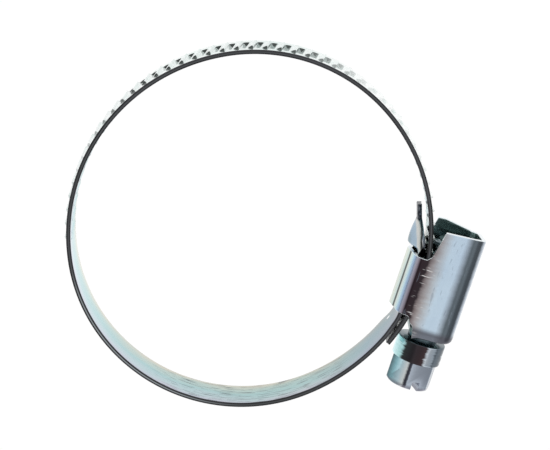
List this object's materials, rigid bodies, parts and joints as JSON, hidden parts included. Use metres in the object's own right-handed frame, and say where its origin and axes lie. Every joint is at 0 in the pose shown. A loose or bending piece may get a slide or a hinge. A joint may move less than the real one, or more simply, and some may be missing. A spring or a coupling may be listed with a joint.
{
  "type": "worm drive hose clamp",
  "caption": "Worm-drive hose clamp: a steel band with a pressed thread that a slotted hexagon screw draws through a folded housing to close the ring on a hose.",
  "frame": {"origin": "centre of the hose that the clamp goes round, at the middle of the band's width", "axes": "+Z along the hose's axis, +X from the hose's centre towards the housing, the screw lies along Y with its hexagon head towards -Y"},
  "size_m": [0.0679, 0.0614, 0.0106],
  "materials": {
    "band_zinc": "bright zinc with pale blue-green passivation",
    "housing_zinc": "bright zinc, blue passivation, drawn lines and small scratches",
    "screw_zinc": "bright zinc on turned steel"
  },
  "bodies": {
    "housing": {"housing": "housing_zinc", "band_fixed_end": "band_zinc"},
    "worm_screw": {"worm_screw": "screw_zinc"},
    "band_stretch_1": {"band_stretch_1": "band_zinc"},
    "band_stretch_2": {"band_stretch_2": "band_zinc"},
    "band_stretch_3": {"band_stretch_3": "band_zinc"},
    "band_stretch_4": {"band_stretch_4": "band_zinc"},
    "band_stretch_5": {"band_stretch_5": "band_zinc"},
    "band_stretch_6": {"band_stretch_6": "band_zinc"},
    "band_stretch_7": {"band_stretch_7": "band_zinc"},
    "band_stretch_8": {"band_stretch_8": "band_zinc"},
    "band_stretch_9": {"band_stretch_9": "band_zinc"},
    "band_threaded_end": {"band_threaded_end": "band_zinc"}
  },
  "joints": [
    {"name": "screw_turn", "type": "hinge", "parent": "housing", "child": "worm_screw", "pos_m": [0.0345, 0, 0], "axis": [0, 1, 0], "range_deg": [0, 1440]},
    {"name": "band_flex_1", "type": "hinge", "parent": "housing", "child": "band_stretch_1", "pos_m": [0.02736, -0.00956, 0], "axis": [0, 0, 1], "range_deg": [-3.54, 0.1]},
    {"name": "band_flex_2", "type": "hinge", "parent": "band_stretch_1", "child": "band_stretch_2", "pos_m": [0.01622, -0.02325, 0], "axis": [0, 0, 1], "range_deg": [-0.96, 0.1]},
    {"name": "band_flex_3", "type": "hinge", "parent": "band_stretch_2", "child": "band_stretch_3", "pos_m": [0.00187, -0.02829, 0], "axis": [0, 0, 1], "range_deg": [-0.96, 0.1]},
    {"name": "band_flex_4", "type": "hinge", "parent": "band_stretch_3", "child": "band_stretch_4", "pos_m": [-0.01302, -0.02518, 0], "axis": [0, 0, 1], "range_deg": [-0.96, 0.1]},
    {"name": "band_flex_5", "type": "hinge", "parent": "band_stretch_4", "child": "band_stretch_5", "pos_m": [-0.02416, -0.01484, 0], "axis": [0, 0, 1], "range_deg": [-1.61, 0.1]},
    {"name": "band_flex_6", "type": "hinge", "parent": "band_stretch_5", "child": "band_stretch_6", "pos_m": [-0.02861, 0.00023, 0], "axis": [0, 0, 1], "range_deg": [-3.54, 0.1]},
    {"name": "band_flex_7", "type": "hinge", "parent": "band_stretch_6", "child": "band_stretch_7", "pos_m": [-0.02395, 0.01776, 0], "axis": [0, 0, 1], "range_deg": [-1.43, 0.1]},
    {"name": "band_flex_8", "type": "hinge", "parent": "band_stretch_7", "child": "band_stretch_8", "pos_m": [-0.01231, 0.0288, 0], "axis": [0, 0, 1], "range_deg": [-0.96, 0.1]},
    {"name": "band_flex_9", "type": "hinge", "parent": "band_stretch_8", "child": "band_stretch_9", "pos_m": [0.0033, 0.03229, 0], "axis": [0, 0, 1], "range_deg": [-0.96, 0.1]},
    {"name": "band_flex_10", "type": "hinge", "parent": "band_stretch_9", "child": "band_threaded_end", "pos_m": [0.01817, 0.02691, 0], "axis": [0, 0, 1], "range_deg": [-2.85, 0.1]}
  ],
  "couplings": [
    {"joint": "band_flex_1", "follows": "screw_turn", "ratio": -0.0023925},
    {"joint": "band_flex_2", "follows": "screw_turn", "ratio": -0.00059813},
    {"joint": "band_flex_3", "follows": "screw_turn", "ratio": -0.00059813},
    {"joint": "band_flex_4", "follows": "screw_turn", "ratio": -0.00059813},
    {"joint": "band_flex_5", "follows": "screw_turn", "ratio": -0.0010479},
    {"joint": "band_flex_6", "follows": "screw_turn", "ratio": -0.0023925},
    {"joint": "band_flex_7", "follows": "screw_turn", "ratio": -0.00092393},
    {"joint": "band_flex_8", "follows": "screw_turn", "ratio": -0.00059813},
    {"joint": "band_flex_9", "follows": "screw_turn", "ratio": -0.00059813},
    {"joint": "band_flex_10", "follows": "screw_turn", "ratio": -0.0019114}
  ]
}
